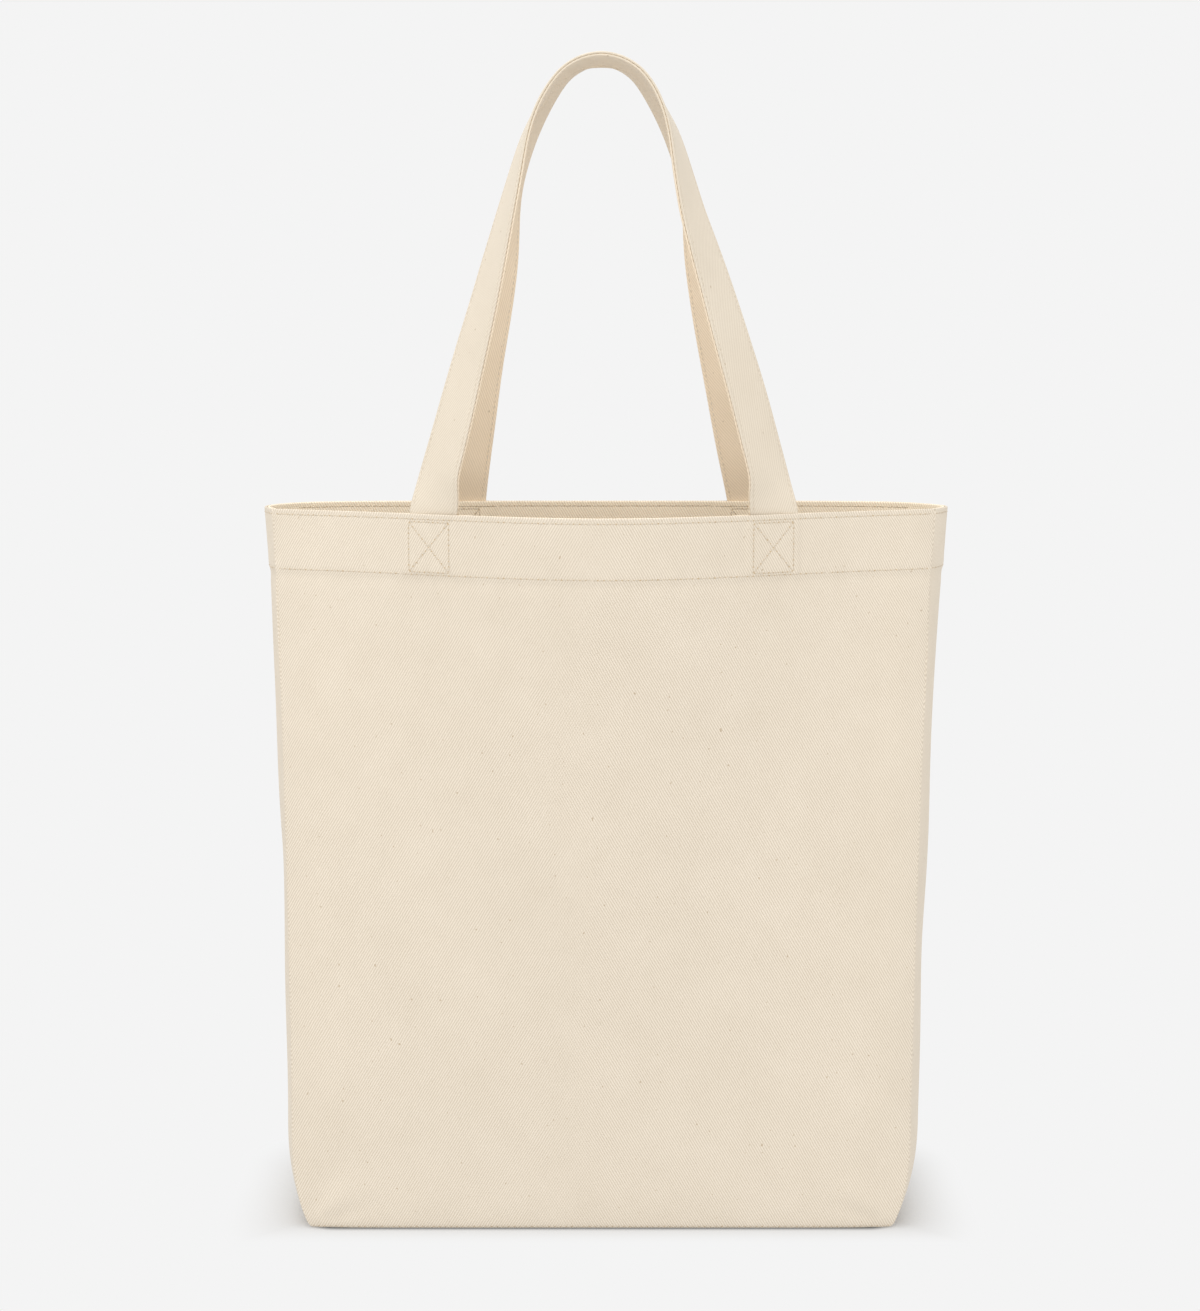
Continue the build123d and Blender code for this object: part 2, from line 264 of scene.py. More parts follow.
def u_at(name, x, z):
    """Where a place x of the front or the back wall lies across it, from -1 to 1."""
    sign = 1.0 if name == "front" else -1.0
    middle = (seam_x(1, z) + seam_x(-1, z)) / 2.0
    half = (seam_x(1, z) - seam_x(-1, z)) / 2.0
    return sign * (x - middle) / half


def front(u, z):
    return points_of(across(u, z), front_y(u, z), z)


def back(u, z):
    return points_of(across(-u, z), back_y(u, z), z)


def gusset(side, u, z):
    share = (1.0 + u * side) / 2.0
    y = mix(front_y(1.0, z), back_y(1.0, z), share)
    out = mix(BULGE_LOW[side], BULGE_MOUTH[side], z / HEIGHT) + MOUTH_ROUNDING * (z / HEIGHT) ** 2.0
    out = out * (1.0 - 0.5 * np.clip(1.0 - z / SIDE_ROLL_HEIGHT, 0.0, None) ** 2.5)
    power = 2.5 - 0.8 * (z / HEIGHT) ** 3.0
    return points_of(seam_x(side, z) + side * out * (1.0 - np.abs(u) ** power), y, z)


def left(u, z):
    return gusset(-1, u, z)


def right(u, z):
    return gusset(1, u, z)


def outward(outline, u, z):
    """The direction out of the bag."""
    du = 1e-4
    dz = 2e-5
    along = outline(u + du, z) - outline(u - du, z)
    up = outline(u, z + dz) - outline(u, np.maximum(z - dz, 0.0))
    return unit(np.cross(along, up))


# ---------------------------------------------------------------- relief of the walls

def row_groove(z, row):
    return -ROW_DENT * hill(z - row, 1.1 * MM)


def mouth_band(z):
    """The facing inside thickens the top band, and its two stitch rows pull the cloth in."""
    band = BAND_LIFT * ease((z - FACING_LOW + 1.5 * MM) / (3.0 * MM))
    below = -0.25 * MM * hill(z - FACING_LOW + 3.0 * MM, 3.0 * MM)
    return band + below + row_groove(z, RIM_ROW) + row_groove(z, HEM_ROW)


def row_puckers(x, z):
    """Short uneven pulls along the two rows of the mouth."""
    near = hill(z - HEM_ROW, 5.0 * MM) + 0.7 * hill(z - RIM_ROW, 3.0 * MM)
    return near * 0.14 * MM * (np.sin(x * 520.0) + np.sin(x * 331.0 + 1.0) + np.sin(x * 797.0 + 2.0))


def line_distance(x, z, start, end):
    """Distance to a straight line between two points of a wall."""
    along = np.array(end) - np.array(start)
    share = ((x - start[0]) * along[0] + (z - start[1]) * along[1]) / (along @ along)
    share = np.clip(share, 0.0, 1.0)
    return np.hypot(x - start[0] - share * along[0], z - start[1] - share * along[1])


def box_lines(middle, half):
    """The box with both its diagonals, as (start, end) pairs of (x, z)."""
    a = (middle - half, BOX_TOP)
    b = (middle + half, BOX_TOP)
    c = (middle + half, BOX_LOW)
    d = (middle - half, BOX_LOW)
    return [(a, b), (b, c), (c, d), (d, a), (a, c), (b, d)]


def strap_end_relief(x, z, middle, half):
    """The strap's end pushes the wall out, and its stitching pulls it back in."""
    beside = ease((STRAP_HALF + 2.0 * MM - np.abs(x - middle)) / (3.5 * MM))
    above = ease((z - HEIGHT + SEWN_HEIGHT + 2.0 * MM) / (3.0 * MM))
    relief = STRAP_END_LIFT * beside * above
    for start, end in box_lines(middle, half):
        relief = relief - BOX_DENT * hill(line_distance(x, z, start, end), 1.2 * MM)
    return relief


def crease(x, z, start, end, width, depth):
    """A soft fold from one place to another, fading towards its far end."""
    along = np.array(end) - np.array(start)
    share = ((x - start[0]) * along[0] + (z - start[1]) * along[1]) / (along @ along)
    off = ((x - start[0]) * along[1] - (z - start[1]) * along[0]) / math.hypot(*along)
    spread = width * (1.0 + 1.3 * np.clip(share, 0.0, 1.0))
    fade = ease(share * 6.0) * ease((1.0 - share) * 1.6)
    return depth * hill(off, spread) * fade


def corner_creases(x, z, side):
    """Folds that fan out of a bottom corner."""
    corner = (side * 170.0 * MM, 2.0 * MM)
    folds = (
        ((140.0, 36.0), 4.5, 1.3),
        ((116.0, 22.0), 3.5, -0.8),
        ((152.0, 62.0), 5.5, -1.2),
        ((128.0, 10.0), 2.4, 0.5),
    )
    relief = 0.0
    for (far_x, far_z), width, depth in folds:
        far = (side * far_x * MM, far_z * MM)
        relief = relief + crease(x, z, corner, far, width * MM, depth * MM)
    return relief


def sway(x, z, seed, depth):
    """Slow waves of hanging cloth, gone at the corner seams, the mouth and the floor."""
    inside = ease((SEAM_HALF_WIDTH - np.abs(x)) / (40.0 * MM))
    held = ease(z / (60.0 * MM)) * ease((HEIGHT - z) / (60.0 * MM))
    return depth * waves(x, z, seed) * inside * held


def face_relief(name, seed):
    handle = HANDLES[name]
    half = BOX_HALF * math.cos(handle["turn"])

    def relief(x, z):
        total = mouth_band(z) + row_puckers(x, z) + sway(x, z, seed, FACE_SWAY)
        total = total + row_groove(z, BASE_ROW)
        for side, middle in zip((-1, 1), handle["boxes"]):
            total = total + strap_end_relief(x, z, middle, half)
            total = total + corner_creases(x, z, side)
        return total

    return relief


def gusset_relief(seed):
    def relief(y, z):
        held = ease(z / (50.0 * MM)) * ease((HEIGHT - z) / (50.0 * MM))
        middle = hill(y, 30.0 * MM)
        slow = GUSSET_SWAY * waves(2.0 * y, 1.4 * z, seed) * held * middle
        return mouth_band(z) + row_puckers(y, z) + slow + row_groove(z, BASE_ROW)

    return relief


WALLS = {
    "front": (front, face_relief("front", 1), 0),
    "back": (back, face_relief("back", 4), 0),
    "left": (left, gusset_relief(2), 1),
    "right": (right, gusset_relief(3), 1),
}


def on_wall(name, u, z, lift=0.0):
    """A point of a wall's outer face, lifted off it, and the direction out of the bag there."""
    outline, relief, axis = WALLS[name]
    flat = outline(u, z)
    out = outward(outline, u, z)
    height = relief(flat[..., axis], z) + lift
    return flat + out * height[..., None], out


# ---------------------------------------------------------------- meshes

def new_object(name, verts, faces, uv, material, marks=None):
    """faces is a list of equal-length index arrays; uv holds one pair for each vertex, in metres."""
    mesh = bpy.data.meshes.new(name)
    counts = np.concatenate([np.full(len(f), f.shape[1]) for f in faces])
    loops = np.concatenate([f.ravel() for f in faces])
    mesh.vertices.add(len(verts))
    mesh.vertices.foreach_set("co", verts.astype(np.float32).ravel())
    mesh.loops.add(len(loops))
    mesh.loops.foreach_set("vertex_index", loops.astype(np.int32))
    mesh.polygons.add(len(counts))
    starts = np.concatenate([[0], np.cumsum(counts)[:-1]])
    mesh.polygons.foreach_set("loop_start", starts.astype(np.int32))
    mesh.update(calc_edges=True)
    layer = mesh.uv_layers.new(name="weave")
    layer.data.foreach_set("uv", uv[loops].astype(np.float32).ravel())
    if marks is not None:
        mark = mesh.attributes.new("mark", "FLOAT", "POINT")
        mark.data.foreach_set("value", marks.astype(np.float32))
    mesh.validate()
    mesh.polygons.foreach_set("use_smooth", np.ones(len(mesh.polygons), bool))
    mesh.materials.append(material)
    obj = bpy.data.objects.new(name, mesh)
    bpy.context.scene.collection.objects.link(obj)
    return obj


def quads(index):
    """Faces of a grid of vertex numbers."""
    corners = (index[:-1, :-1], index[1:, :-1], index[1:, 1:], index[:-1, 1:])
    return np.stack(corners, axis=-1).reshape(-1, 4)


def edge_of(grid):
    """The values round a grid, anticlockwise."""
    return np.concatenate([grid[:-1, 0], grid[-1, :-1], grid[:0:-1, -1], grid[0, :0:-1]])


def grid_lengths(points):
    """Distance from a grid's middle, along its first direction."""
    step = np.linalg.norm(np.diff(points, axis=0), axis=-1)
    along = np.concatenate([np.zeros((1, points.shape[1])), np.cumsum(step, axis=0)])
    return along - along[-1:] / 2.0


def sheet_object(name, outer, inner, material, up=None):
    """A closed sheet of cloth between two grids of points, with rounded edges."""
    shape = outer.shape[:2]
    count = shape[0] * shape[1]
    index = np.arange(count).reshape(shape)
    along = grid_lengths(outer)
    height = outer[..., 2] if up is None else up
    flat = np.stack([along, height], axis=-1)
    beyond = np.zeros_like(outer)
    beyond[0] += unit(outer[0] - outer[1])
    beyond[-1] += unit(outer[-1] - outer[-2])
    beyond[:, 0] += unit(outer[:, 0] - outer[:, 1])
    beyond[:, -1] += unit(outer[:, -1] - outer[:, -2])
    ring_out = unit(edge_of(beyond))
    ring_outer = edge_of(outer)
    ring_inner = edge_of(inner)
    ring_flat = edge_of(flat)
    middle = (ring_outer + ring_inner) / 2.0
    half = (ring_outer - ring_inner) / 2.0
    radius = np.linalg.norm(half, axis=-1, keepdims=True)
    rings = []
    for angle in (30.0, 60.0, 90.0, 120.0, 150.0):
        turn = math.radians(angle)
        rings.append(middle + half * math.cos(turn) + ring_out * radius * math.sin(turn))
    verts = np.concatenate([outer.reshape(-1, 3), inner.reshape(-1, 3), *rings])
    uv = np.concatenate([flat.reshape(-1, 2)] * 2 + [ring_flat] * len(rings))
    size = len(ring_out)
    loops = [edge_of(index)]
    loops += [2 * count + i * size + np.arange(size) for i in range(len(rings))]
    loops += [edge_of(index + count)]
    faces = [quads(index), quads(index + count)[:, ::-1]]
    for near, far in zip(loops, loops[1:]):
        faces.append(np.stack([near, far, np.roll(far, -1), np.roll(near, -1)], axis=-1))
    return new_object(name, verts, faces, uv, material)


# ---------------------------------------------------------------- the walls

def floor_stops():
    """Heights in the fold at the floor, by equal turns."""
    turns = np.radians(np.linspace(22.0, 90.0, 7))
    return TUCK * (1.0 - np.cos(turns))


def wall_heights():
    low = floor_stops()
    top = HEIGHT - CANVAS / 2.0
    rest = stops(low[-1], (0.060, 1.9 * MM), (HEM_ROW - 6.0 * MM, 3.2 * MM), (top, 0.95 * MM))
    return np.concatenate([low, rest[1:]])


def face_places():
    """Places across the front or the back, closer together at the strap ends and the seams."""
    end = SEAM_HALF_WIDTH + FLARE[1] - MOUTH_ROUNDING
    metres = stops(0.0, (74.0 * MM, 2.6 * MM), (116.0 * MM, 1.0 * MM),
                   (0.180, 2.6 * MM), (end - CANVAS / 2.0, 0.9 * MM))
    return mirrored(metres / end)


def gusset_places():
    end = BASE_SEAM
    metres = stops(0.0, (0.034, 1.7 * MM), (end - CANVAS / 2.0, 0.8 * MM))
    return mirrored(metres / end)


def wall_object(name, side_name, places, material):
    u, z = np.meshgrid(places, wall_heights(), indexing="ij")
    outer, out = on_wall(side_name, u, z)
    return sheet_object(name, outer, outer - out * CANVAS, material)


def base_object(material):
    """The flat bottom, between the lower edges of the walls."""
    inset = TUCK * 0.35
    u = mirrored(stops(0.0, (0.9, 0.016), (1.0, 0.006)))
    w = mirrored(stops(0.0, (0.8, 0.04), (1.0, 0.02)))
    uu, ww = np.meshgrid(u, w, indexing="ij")
    side = np.where(uu < 0, -1, 1)
    z = 0.4 * MM + 0.0 * uu
    reach = 1.0 - inset / SEAM_HALF_WIDTH
    x = across(uu * reach, z)
    low = front_y(uu, z) + inset
    high = back_y(uu, z) - inset
    y = mix(low, high, (1.0 + ww) / 2.0)
    bulge = np.where(side < 0, BULGE_LOW[-1], BULGE_LOW[1]) * 0.5
    x = x + side * bulge * (1.0 - np.abs(ww) ** 2.5) * np.abs(uu) ** 12
    sag = 0.25 * MM * waves(2.0 * x, 2.0 * y, 5) * ease((1.0 - np.abs(uu)) * 8.0)
    under = points_of(x, y, z + 0.25 * MM + np.abs(sag))
    over = under + np.array([0.0, 0.0, CANVAS])
    return sheet_object("base_panel_cloth", under[:, ::-1], over[:, ::-1], material, up=y[:, ::-1])


# ---------------------------------------------------------------- the mouth facing

def pocket(name, x):
    """How far the facing stands off the wall, to leave room for the strap ends."""
    depth = 0.0
    if name in HANDLES:
        for leg_x in HANDLES[name]["legs"]:
            beyond = np.abs(x - leg_x) - STRAP_HALF - 1.5 * MM
            depth = depth + (STRAP_THICK + LAYER_GAP) * ease(1.0 - beyond / (8.0 * MM))
    return depth


def on_facing(name, u, z, lift=0.0):
    """A point on the facing's visible side, and the direction into the bag there."""
    outline, _, axis = WALLS[name]
    flat = outline(u, z)
    out = outward(outline, u, z)
    x = flat[..., 0]
    depth = 2.0 * CANVAS + LAYER_GAP / 2.0 + pocket(name, x)
    flat_row = flat[..., axis]
    dent = FACING_DENT * (hill(z - RIM_ROW, 0.9 * MM) + hill(z - HEM_ROW, 0.9 * MM))
    wavy = 0.25 * MM * waves(3.0 * flat_row, 2.0 * z, 7)
    depth = depth - dent + np.abs(wavy)
    if name in HANDLES:
        half = BOX_HALF * math.cos(HANDLES[name]["turn"])
        for middle in HANDLES[name]["boxes"]:
            for start, end in box_lines(middle, half):
                depth = depth - BOX_DENT_INSIDE * hill(line_distance(x, z, start, end), 1.2 * MM)
    return flat - out * (depth + lift)[..., None], -out


def facing_object(name, places, material):
    low = FACING_LOW + CANVAS / 2.0
    top = HEIGHT - CANVAS / 2.0
    reach = 1.002 if name in HANDLES else 1.0
    u, z = np.meshgrid(places * reach, stops(low, (top, 0.9 * MM)), indexing="ij")
    inner, inward = on_facing(name, u, z)
    return sheet_object(f"{name}_facing_cloth", inner - inward * CANVAS, inner, material)


# ---------------------------------------------------------------- the straps

def arch_point(slope):
    """A point of the arch, where the strap leans from upright by this slope."""
    top_slope = max(slope, SHOULDER_SLOPE)
    x = TOP_RADIUS * math.cos(top_slope)
    z = STRAP_TOP - TOP_RADIUS * (1.0 - math.sin(top_slope))
    if slope < SHOULDER_SLOPE:
        x += SHOULDER_RADIUS * (math.cos(slope) - math.cos(SHOULDER_SLOPE))
        z -= SHOULDER_RADIUS * (math.sin(SHOULDER_SLOPE) - math.sin(slope))
    return x, z


def leg_line_x(z):
    tangent_x, tangent_z = arch_point(LEG_LEAN)
    return tangent_x + (tangent_z - z) * math.tan(LEG_LEAN)


def root_y(name, leg_x, z):
    """Middle of the strap's thickness, between the wall and its facing."""
    outline = WALLS[name][0]
    height = np.array(z)
    u = u_at(name, leg_x, height)
    depth = CANVAS + LAYER_GAP / 2.0 + STRAP_THICK / 2.0
    return float((outline(u, height) - outward(outline, u, height) * depth)[1])


def strap_turn(handle, side, length, total):
    """How far the strap has twisted: soon above the mouth, then slowly up to the arch."""
    even = mix(handle["turn"], math.pi / 2.0, length / total)
    if not handle["twist"]:
        return even + handle["neck"] * float(hill(length - 0.186, 0.034))
    pace = of_side(handle["pace"], side)
    slow = max(0.0, length - TWIST_LENGTH) / (ARCH_FLAT_FROM * total - TWIST_LENGTH)
    slow = min(1.0, slow) ** pace
    sharp = mix(handle["turn"], handle["twist"], float(ease(length / TWIST_LENGTH)))
    return mix(sharp, math.pi / 2.0, slow)


def free_line(leg_x, bowed):
    """(x, z) of a free leg's middle, from the mouth up to the top of the arch."""
    tangent_z = arch_point(LEG_LEAN)[1]
    offset = leg_line_x(HEIGHT) - abs(leg_x)
    line = []
    for z in np.linspace(HEIGHT + 0.5 * MM, tangent_z, 80):
        near = max(0.0, 1.0 - (z - HEIGHT) / ROOT_BLEND)
        bend_out = bowed * math.sin(math.pi * (1.0 - near)) if near > 0.0 else 0.0
        line.append((leg_line_x(z) - offset * near * near + bend_out, z))
    for slope in np.linspace(LEG_LEAN, math.pi / 2.0, 30)[1:]:
        line.append(arch_point(slope))
    return np.array(line)


def half_path(name, side):
    """(x, y, z, turn) from a sewn end up to the top of the arch."""
    handle = HANDLES[name]
    leg_x = of_side(handle["legs"], side)
    stations = []
    for z in np.linspace(HEIGHT - SEWN_HEIGHT, HEIGHT - 1.5 * MM, SEWN_STATIONS):
        x = leg_x + side * 0.04 * (HEIGHT - z)
        stations.append((x, root_y(name, leg_x, z), z, handle["turn"]))
    start_y = root_y(name, leg_x, HEIGHT)
    free = free_line(leg_x, of_side(handle["bow"], side))
    lengths = lengths_along(free)
    for (x, z), length in zip(free, lengths):
        share = length / lengths[-1]
        y = mix(start_y, handle["outside"] * ARCH_Y, (z - HEIGHT) / (STRAP_TOP - HEIGHT))
        turn = strap_turn(handle, side, length, lengths[-1])
        # the front strap's outer edge runs straight on, so its quick twist draws in the inner edge
        even = mix(handle["turn"], math.pi / 2.0, share)
        shift = STRAP_HALF * (math.cos(even) - math.cos(turn)) * float(ease(4.0 * (1.0 - share)))
        stations.append((side * (x + shift), y, z, turn))
    return np.array(stations)


def softened(values, times):
    """Each value moved towards its neighbours, the ends kept."""
    for _ in range(times):
        values[1:-1] = (values[:-2] + 2.0 * values[1:-1] + values[2:]) / 4.0
    return values


def strap_frames(name):
    """Middle, width direction and outer-face direction, all along the strap."""
    outside = HANDLES[name]["outside"]
    halves = []
    for side in (-1, 1):
        path = softened(half_path(name, side), 6)
        tangent = unit(np.gradient(path[:, :3], axis=0))
        tangent[-1] = (-side, 0.0, 0.0)
        lean_y = (path[-1, 1] - path[SEWN_STATIONS, 1]) / (STRAP_TOP - HEIGHT)
        out = unit(np.array([0.0, float(outside), -outside * lean_y]))
        flat = np.cross(tangent, out) * (side * outside)
        turn = path[:, 3:4]
        wide = unit(flat * np.cos(turn) + out * np.sin(turn))
        wide = unit(wide - tangent * np.sum(wide * tangent, axis=1, keepdims=True))
        thick = unit(np.cross(wide, tangent) * (side * outside))
        halves.append((path[:, :3], wide, thick))
    middle, wide, thick = [np.concatenate([a, b[::-1][1:]]) for a, b in zip(*halves)]
    # the edges wander a little, as on sewn cloth
    along = lengths_along(middle)[:, None]
    wander = 0.22 * MM * np.sin(along * 37.0 + 0.6) + 0.12 * MM * np.sin(along * 92.0)
    return middle + wide * wander, wide, thick


def strap_profile():
    """Round the strap's section: (across, up) in metres. One edge is folded, the other two lips."""
    half = STRAP_THICK / 2.0
    inner = STRAP_HALF - half
    flat = 11.6 * MM
    end = STRAP_HALF - 0.6 * MM
    places = stops(-inner, (-flat, 0.42 * MM), (flat, 2.6 * MM), (end, 0.42 * MM))
    dip = hill(np.abs(places) - STRAP_HALF + EDGE_INSET, 0.8 * MM)
    pad = ease(1.0 - np.abs(places) / (11.0 * MM))
    face = half - 0.26 * MM * dip - 0.12 * MM * pad
    top = list(zip(places, face))
    lip = 0.62 * MM
    lips = []
    for centre in (half - lip, -half + lip):
        for angle in (70.0, 35.0, 0.0, -35.0, -70.0):
            turn = math.radians(angle)
            edge = STRAP_HALF - lip
            lips.append((edge + lip * math.cos(turn), centre + lip * math.sin(turn)))
        if centre > 0:
            lips.append((STRAP_HALF - 1.1 * MM, 0.0))
    under = [(x, -y) for x, y in reversed(top)]
    fold = []
    for angle in (-120.0, -150.0, 180.0, 150.0, 120.0):
        turn = math.radians(angle)
        fold.append((-inner + half * math.cos(turn), half * math.sin(turn)))
    return np.array(top + lips + under + fold)


def strap_surface(frames, offset, lift, face):
    """Points on one face of the strap, a set distance across it."""
    middle, wide, thick = frames
    return middle + wide * offset + thick * (face * (STRAP_THICK / 2.0 + lift))


def section_heights(profile, along):
    """How high each point of each section lies: it puffs and dips, with folds under the arch."""
    swell = 1.0 + 0.03 * np.sin(along * 61.0) + 0.02 * np.sin(along * 143.0 + 1.0)
    slant = along - along[-1, 0] / 2.0 + 0.35 * profile[None, :, 0]
    folds = 0.0
    for place, width, share in ((7.0, 3.0, 1.0), (-5.0, 2.2, 1.0), (19.0, 4.0, 0.6)):
        folds = folds + share * hill(slant - place * MM, width * MM)
    under = np.clip(-profile[None, :, 1] / (STRAP_THICK / 2.0), 0.0, 1.0)
    folds = folds * under * hill(profile[None, :, 0], 10.0 * MM)
    return profile[None, :, 1] * swell + 0.55 * MM * folds


def strap_object(name, frames, material):
    middle, wide, thick = frames
    profile = strap_profile()
    along = lengths_along(middle)[:, None]
    up = section_heights(profile, along)
    across_it = wide[:, None] * profile[None, :, 0, None]
    points = middle[:, None] + across_it + thick[:, None] * up[..., None]
    rows, count = points.shape[:2]
    index = np.arange(rows * count).reshape(rows, count)
    faces = [quads(np.concatenate([index, index[:, :1]], axis=1))[:, ::-1]]
    around = lengths_along(profile)[None, :] - STRAP_HALF
    uv = np.stack(np.broadcast_arrays(around, along), axis=-1).reshape(-1, 2)
    verts = points.reshape(-1, 3)
    # the cut ends, hidden between the wall and the facing
    for ring in (index[0], index[-1][::-1]):
        hub = np.full(count, len(verts))
        faces.append(np.stack([hub, np.roll(ring, -1), ring], axis=-1)[:, ::-1])
        verts = np.concatenate([verts, verts[ring].mean(axis=0)[None]])
        uv = np.concatenate([uv, np.zeros((1, 2))])
    # the strap's inner side, which gets the painted warm light of the inside colour
    inside = ease(0.5 - profile[None, :, 1] / (2.0 * MM))
    marks = np.concatenate([np.broadcast_to(inside, (rows, count)).ravel(), np.zeros(2)])
    return new_object(f"{name}_strap", verts, faces, uv, material, marks)


# ---------------------------------------------------------------- thread

STITCH_RINGS = (-1.0, -0.86, -0.5, 0.0, 0.5, 0.86, 1.0)
STITCH_SIDES = 6
SUNK = 0.02 * MM                  # how deep the stitches lie in the cloth
CORNER_SUNK = 1.0 * MM            # and how deep in the corner seams
HOLE_SIDES = 8
HOLE_RINGS = (                    # (radius, height) of the pucker round a hole
    (0.40 * MM, -0.25 * MM),
    (0.44 * MM, 0.02 * MM),
    (0.36 * MM, 0.08 * MM),
    (0.18 * MM, 0.10 * MM),
)


def stitch_run(points, normals, pitch=PITCH, cover=0.80):
    """Separate stitches along a line on the cloth: (vertices, uv, marks), ring by ring."""
    length = lengths_along(points)
    count = max(1, round(length[-1] / pitch))
    spacing = length[-1] / count
    ring = np.array(STITCH_RINGS)
    place = (np.arange(count)[:, None] + 0.5 + ring[None, :] * cover / 2.0) * spacing
    middle = at_lengths(points, length, place)
    up = unit(at_lengths(normals, length, place))
    along = unit(middle[:, -1:] - middle[:, :1])
    side = unit(np.cross(along, up))
    wobble = 0.05 * MM * np.sin(np.arange(count) * 2.4 + length[-1] * 900.0)[:, None, None]
    height = 0.10 * MM - 0.42 * MM * np.abs(ring) ** 5
    radius = THREAD * np.array([0.35, 0.8, 1.0, 1.06, 1.0, 0.8, 0.35])
    turn = np.arange(STITCH_SIDES) * math.tau / STITCH_SIDES
    centre = middle + up * height[None, :, None] + side * wobble
    verts = centre[:, :, None] + radius[None, :, None, None] * (
        side[:, :, None] * np.cos(turn)[None, None, :, None]
        + up[:, :, None] * np.sin(turn)[None, None, :, None]
    )
    # the ends of each stitch, where it goes down into the cloth, get the painted shade of the hole
    # colour
    marks = np.broadcast_to((np.abs(ring) ** 6)[None, :, None], verts.shape[:3])
    uv = np.stack(np.broadcast_arrays(turn[None, None, :] * THREAD, place[:, :, None]), axis=-1)
    return verts, uv, marks


def hole_run(points, normals, pitch=PITCH):
    """The puckered needle hole between each stitch and the next, ring by ring: a small cap on the
    cloth, painted with the hole's shade.
    """
    length = lengths_along(points)
    count = max(1, round(length[-1] / pitch))
    place = np.linspace(0.0, length[-1], count + 1)
    middle = at_lengths(points, length, place)
    ahead = at_lengths(points, length, place + 0.1 * MM)
    behind = at_lengths(points, length, place - 0.1 * MM)
    up = unit(at_lengths(normals, length, place))
    along = unit(ahead - behind)
    side = unit(np.cross(along, up))
    turn = np.arange(HOLE_SIDES) * math.tau / HOLE_SIDES
    size = 1.0 + 0.22 * np.sin(np.arange(count + 1) * 1.9 + length[-1] * 700.0)
    round_ = along[:, None] * np.cos(turn)[:, None] + side[:, None] * np.sin(turn)[:, None]
    rings = []
    for radius, height in HOLE_RINGS:
        rings.append(middle[:, None] + round_ * (radius * size)[:, None, None] + up[:, None] * height)
    verts = np.stack(rings, axis=1)
    uv = np.zeros(verts.shape[:3] + (2,))
    # every point of the cap gets the painted shade of the hole colour
    return verts, uv, np.ones(verts.shape[:3])


def tube_faces(count, rings, sides, first):
    """Faces of many short closed tubes, each a stack of rings."""
    index = first + np.arange(count * rings * sides).reshape(count, rings, sides)
    near = index[:, :-1]
    far = index[:, 1:]
    walls = np.stack([near, np.roll(near, -1, axis=2), np.roll(far, -1, axis=2), far], axis=-1)
    return [walls.reshape(-1, 4), index[:, 0, ::-1], index[:, -1]]


def shadow_run(points, normals):
    """The same stitches seen deep between two lips of cloth: thin, short and dark."""
    verts, uv, marks = stitch_run(points, normals, cover=0.75)
    centre = verts.mean(axis=2, keepdims=True)
    return centre + 0.5 * (verts - centre), uv, np.ones(marks.shape)


def sewn(runs):
    """Rows of stitches with their needle holes."""
    return [(stitch_run, STITCH_SIDES, runs), (hole_run, HOLE_SIDES, runs)]


def thread_object(name, groups, material):
    """One object of several groups of runs, each made in its own way."""
    verts, uv, marks, faces, first = [], [], [], [], 0
    for maker, sides, runs in groups:
        parts = [maker(*run) for run in runs]
        shape = parts[0][0].shape
        count = sum(len(p[0]) for p in parts)
        faces += tube_faces(count, shape[1], sides, first)
        first += count * shape[1] * sides
        verts += [p[0].reshape(-1, 3) for p in parts]
        uv += [p[1].reshape(-1, 2) for p in parts]
        marks += [p[2].ravel() for p in parts]
    verts, uv, marks = np.concatenate(verts), np.concatenate(uv), np.concatenate(marks)
    return new_object(name, verts, faces, uv, material, marks)


def wall_row(name, z, reach, inside):
    """A row along a wall at one height, on the outside, and on the facing too."""
    u = np.linspace(-reach, reach, 300)
    height = np.full_like(u, z)
    runs = [on_wall(name, u, height, -SUNK)]
    if inside:
        runs.append(on_facing(name, u * 0.97, height, -SUNK))
    return runs


def ring_runs(z, inside):
    runs = []
    for name in WALLS:
        reach = 0.985 if name in HANDLES else 0.93
        runs += wall_row(name, z, reach, inside)
    return runs


def corner_run(side, name):
    """Down one corner, in the groove between the wall and the gusset."""
    z = np.linspace(8.0 * MM, HEIGHT - 4.0 * MM, 300)
    u = np.full_like(z, side if name == "front" else -side)
    outline = WALLS[name][0]
    wall_out = outward(outline, u, z)
    gusset_out = points_of(float(side), 0.0 * z, 0.0)
    out = unit(wall_out + gusset_out)
    return [(outline(u, z) - out * CORNER_SUNK, out)]


def cross_runs(name, middle):
    """The box and its diagonals, on the wall and on the facing."""
    half = BOX_HALF * math.cos(HANDLES[name]["turn"])
    runs = []
    for start, end in box_lines(middle, half):
        x = np.linspace(start[0], end[0], 40)
        z = np.linspace(start[1], end[1], 40)
        u = u_at(name, x, z)
        for surface in (on_wall, on_facing):
            points, normals = surface(name, u, z, -SUNK)
            runs.append((points[1:-1], normals[1:-1], BOX_PITCH))
    return runs


def edge_runs(frames, edge):
    """Along one edge of a strap, on both its faces."""
    middle, wide, thick = frames
    free = middle[:, 2] > HEIGHT + 1.5 * MM
    runs = []
    for face in (1, -1):
        depth = 0.40 * MM
        if face < 0:
            # carrying has pressed the thread into the cloth under the arch
            depth = depth + 0.50 * MM * hill(middle[:, 2:3] - STRAP_TOP, 60.0 * MM)
        points = strap_surface(frames, edge * (STRAP_HALF - EDGE_INSET), -depth, face)
        runs.append((points[free], (thick * face)[free]))
    groups = sewn(runs)
    if edge > 0:
        points = middle + wide * (STRAP_HALF - 0.42 * MM)
        groups.append((shadow_run, STITCH_SIDES, [(points[free], wide[free])]))
    return groups


# ---------------------------------------------------------------- materials

